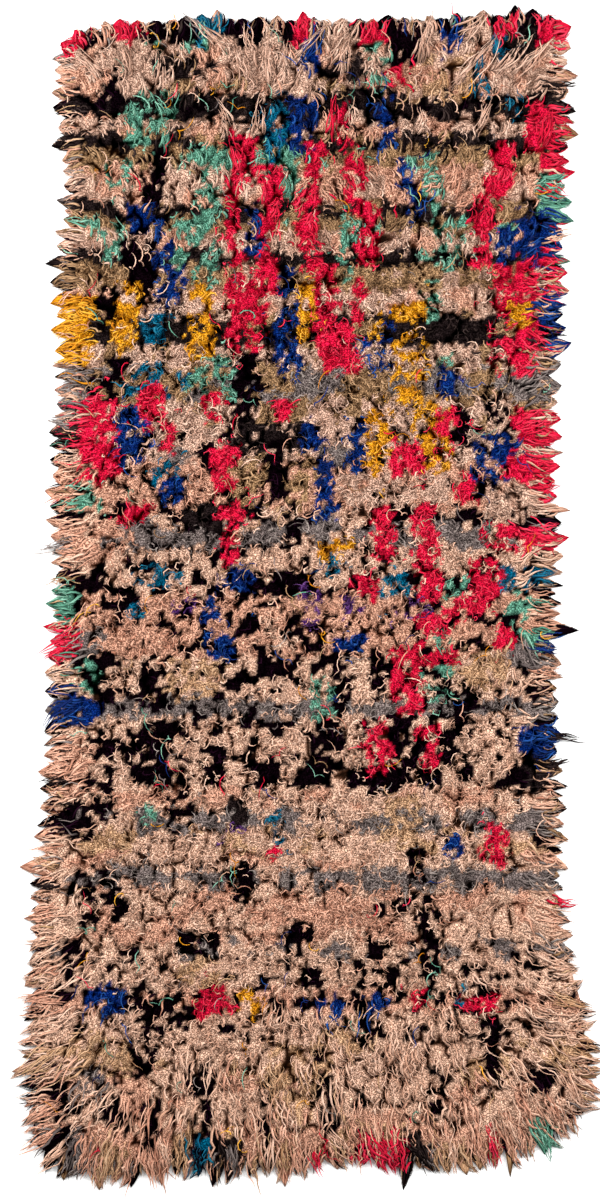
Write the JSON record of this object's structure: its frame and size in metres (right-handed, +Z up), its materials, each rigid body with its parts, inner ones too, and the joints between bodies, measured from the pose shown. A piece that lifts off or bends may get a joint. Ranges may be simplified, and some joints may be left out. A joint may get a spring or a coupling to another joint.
{
  "type": "shag rug",
  "caption": "Long narrow hand-knotted shag rug lying flat, with a lumpy pile of loose yarn in many-coloured bands and columns, and pointed locks all round its rim.",
  "frame": {"origin": "centre of the underside, on the floor", "axes": "+Y along the rug towards its upper end, +Z up out of the floor, +X across it to the right"},
  "size_m": [1.1179, 2.2546, 0.048],
  "materials": {
    "wool_pile": "pale undyed wool, matt and fuzzy",
    "cream_yarn": "cream wool, matt",
    "peach_yarn": "peach wool, matt",
    "camel_yarn": "camel wool, matt",
    "grey_yarn": "grey wool, matt",
    "charcoal_yarn": "brown-black wool, matt",
    "black_yarn": "aubergine-black wool, matt",
    "red_yarn": "crimson wool, matt",
    "blue_yarn": "royal blue wool, matt",
    "teal_yarn": "teal wool, matt",
    "mint_yarn": "mint wool, matt",
    "ochre_yarn": "ochre wool, matt",
    "purple_yarn": "purple wool, matt",
    "woven_ground": "undyed wool, flat woven"
  },
  "bodies": {
    "root": {"shag_rug": "wool_pile"}
  },
  "joints": []
}
